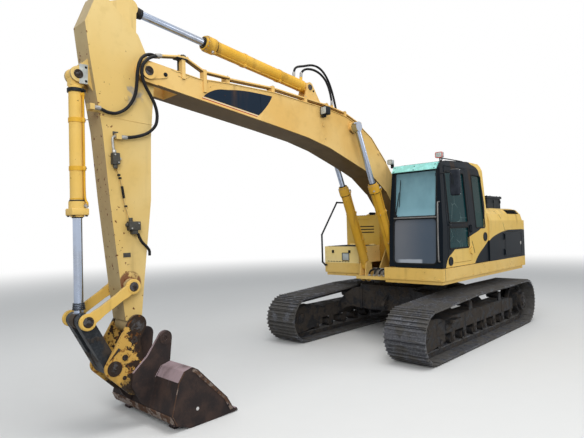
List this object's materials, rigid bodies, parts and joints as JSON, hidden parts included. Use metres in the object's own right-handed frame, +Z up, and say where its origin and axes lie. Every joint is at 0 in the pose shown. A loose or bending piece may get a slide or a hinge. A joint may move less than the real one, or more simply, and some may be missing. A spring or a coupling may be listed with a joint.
{
  "type": "crawler excavator",
  "caption": "Hydraulic crawler excavator with a slewing house, glazed cab, long boom, stick and digging bucket on steel tracks.",
  "frame": {"origin": "on the ground, under the swing axis", "axes": "+X forward along the boom, +Y to the machine's left, +Z up"},
  "size_m": [8.997, 3.105, 4.4933],
  "materials": {
    "body_paint": "faded",
    "cylinder_paint": "satin",
    "black_paint": "satin",
    "muddy_steel": "muddy",
    "rusty_steel": "rusty",
    "link_steel": "worn",
    "rod_chrome": "polished",
    "pane": "clear",
    "visor": "tinted",
    "trim": "matte",
    "cushion": "matte",
    "engine": "plain",
    "hose_rubber": "matte"
  },
  "bodies": {
    "undercarriage": {"carbody": "muddy_steel", "swing_ring": "link_steel", "track_frames": "muddy_steel", "rollers": "link_steel", "drives": "muddy_steel", "track_left": "muddy_steel", "track_right": "muddy_steel"},
    "house": {"swing_frame": "body_paint", "skirts": "body_paint", "counterweight": "body_paint", "engine_block": "engine", "body_shell": "body_paint", "fuel_tank": "body_paint", "toolbox": "body_paint", "handrail": "black_paint", "air_cleaner": "black_paint", "cab_shell": "black_paint", "sun_visor": "visor", "cab_lamps": "trim", "seat_frame": "trim", "seat_cushions": "cushion", "cab_controls": "trim", "mirror": "trim", "cab_glass": "pane"},
    "hood": {"engine_hood": "body_paint"},
    "side_door_left": {"service_door_left": "black_paint"},
    "side_door_right": {"service_door_right": "black_paint"},
    "box_lid": {"toolbox_lid": "body_paint"},
    "driver_door": {"cab_door": "black_paint", "door_glass": "pane"},
    "main_boom": {"boom": "body_paint", "boom_pipes": "body_paint", "boom_lamp": "black_paint", "tip_hose_upper": "hose_rubber", "tip_hose_lower": "hose_rubber", "ram_hose_upper": "hose_rubber", "ram_hose_lower": "hose_rubber"},
    "lift_barrel_left": {"boom_barrel_left": "cylinder_paint"},
    "lift_barrel_right": {"boom_barrel_right": "cylinder_paint"},
    "lift_rod_left": {"boom_rod_left": "rod_chrome"},
    "lift_rod_right": {"boom_rod_right": "rod_chrome"},
    "arm": {"stick": "body_paint"},
    "arm_barrel": {"stick_barrel": "cylinder_paint"},
    "arm_rod": {"stick_rod": "rod_chrome"},
    "curl_barrel": {"bucket_barrel": "cylinder_paint"},
    "curl_rod": {"bucket_rod": "rod_chrome"},
    "guide_links": {"side_links": "cylinder_paint"},
    "push_link": {"h_link": "link_steel"},
    "digging_bucket": {"coupler": "cylinder_paint", "bucket": "rusty_steel"}
  },
  "joints": [
    {"name": "swing", "type": "hinge", "parent": "undercarriage", "child": "house", "pos_m": [0, 0, 1.05], "axis": [0, 0, 1], "continuous": true},
    {"name": "boom_lift", "type": "hinge", "parent": "house", "child": "main_boom", "pos_m": [0.11, 0, 1.83], "axis": [0, -1, 0], "range_deg": [-44, 34]},
    {"name": "stick_curl", "type": "hinge", "parent": "main_boom", "child": "arm", "pos_m": [5.49, 0, 3.64], "axis": [0, 1, 0], "range_deg": [-60, 50], "deforming": ["tip_hose_upper", "tip_hose_lower", "ram_hose_upper", "ram_hose_lower"]},
    {"name": "bucket_curl", "type": "hinge", "parent": "arm", "child": "digging_bucket", "pos_m": [5.65, 0, 1.03], "axis": [0, 1, 0], "range_deg": [-75, 65]},
    {"name": "boom_cylinder_left_base", "type": "hinge", "parent": "house", "child": "lift_barrel_left", "pos_m": [0.945, 0.3, 1.27], "axis": [0, -1, 0], "range_deg": [-42.68, 32.98]},
    {"name": "boom_cylinder_left_stroke", "type": "slide", "parent": "lift_barrel_left", "child": "lift_rod_left", "axis": [0.4034, 0, 0.915], "range_m": [-0.661, 0.511]},
    {"name": "boom_cylinder_right_base", "type": "hinge", "parent": "house", "child": "lift_barrel_right", "pos_m": [0.945, -0.3, 1.27], "axis": [0, -1, 0], "range_deg": [-42.68, 32.98]},
    {"name": "boom_cylinder_right_stroke", "type": "slide", "parent": "lift_barrel_right", "child": "lift_rod_right", "axis": [0.4034, 0, 0.915], "range_m": [-0.661, 0.511]},
    {"name": "stick_cylinder_base", "type": "hinge", "parent": "main_boom", "child": "arm_barrel", "pos_m": [2.77, 0, 4.03], "axis": [0, 1, 0], "range_deg": [-2.4, 2]},
    {"name": "stick_cylinder_stroke", "type": "slide", "parent": "arm_barrel", "child": "arm_rod", "axis": [0.9944, 0, 0.1054], "range_m": [-0.639, 0.533]},
    {"name": "bucket_cylinder_base", "type": "hinge", "parent": "arm", "child": "curl_barrel", "pos_m": [6.16, 0, 3.5], "axis": [0, 1, 0], "range_deg": [-6, 5.2]},
    {"name": "bucket_cylinder_stroke", "type": "slide", "parent": "curl_barrel", "child": "curl_rod", "axis": [0.0021, 0, -1], "range_m": [-0.452, 0.392]},
    {"name": "guide_link_turn", "type": "hinge", "parent": "arm", "child": "guide_links", "pos_m": [5.7, 0, 1.42], "axis": [0, 1, 0], "range_deg": [-56.25, 48.75]},
    {"name": "push_link_turn", "type": "hinge", "parent": "digging_bucket", "child": "push_link", "pos_m": [5.9, 0, 0.64], "axis": [0, 1, 0], "range_deg": [-39, 45]},
    {"name": "driver_door_hinge", "type": "hinge", "parent": "house", "child": "driver_door", "pos_m": [0.26, 1.353, 1.5], "axis": [0, 0, 1], "range_deg": [0, 160]},
    {"name": "hood_hinge", "type": "hinge", "parent": "house", "child": "hood", "pos_m": [-1.136, 0, 2.278], "axis": [0, 1, 0], "range_deg": [0, 70]},
    {"name": "side_door_left_hinge", "type": "hinge", "parent": "house", "child": "side_door_left", "pos_m": [-1.184, 1.368, 1.5], "axis": [0, 0, -1], "range_deg": [0, 100]},
    {"name": "side_door_right_hinge", "type": "hinge", "parent": "house", "child": "side_door_right", "pos_m": [-1.184, -1.368, 1.5], "axis": [0, 0, 1], "range_deg": [0, 100]},
    {"name": "toolbox_lid_hinge", "type": "hinge", "parent": "house", "child": "box_lid", "pos_m": [0.11, -0.95, 1.61], "axis": [0, -1, 0], "range_deg": [0, 80]}
  ],
  "couplings": [
    {"joint": "boom_cylinder_left_base", "follows": "boom_lift", "ratio": 0.97},
    {"joint": "boom_cylinder_left_stroke", "follows": "boom_lift", "m_per_rad": 0.86},
    {"joint": "boom_cylinder_right_base", "follows": "boom_lift", "ratio": 0.97},
    {"joint": "boom_cylinder_right_stroke", "follows": "boom_lift", "m_per_rad": 0.86},
    {"joint": "stick_cylinder_base", "follows": "stick_curl", "ratio": 0.04},
    {"joint": "stick_cylinder_stroke", "follows": "stick_curl", "m_per_rad": 0.61},
    {"joint": "bucket_cylinder_base", "follows": "bucket_curl", "ratio": 0.08},
    {"joint": "bucket_cylinder_stroke", "follows": "bucket_curl", "m_per_rad": 0.345},
    {"joint": "guide_link_turn", "follows": "bucket_curl", "ratio": 0.75},
    {"joint": "push_link_turn", "follows": "bucket_curl", "ratio": -0.6}
  ]
}
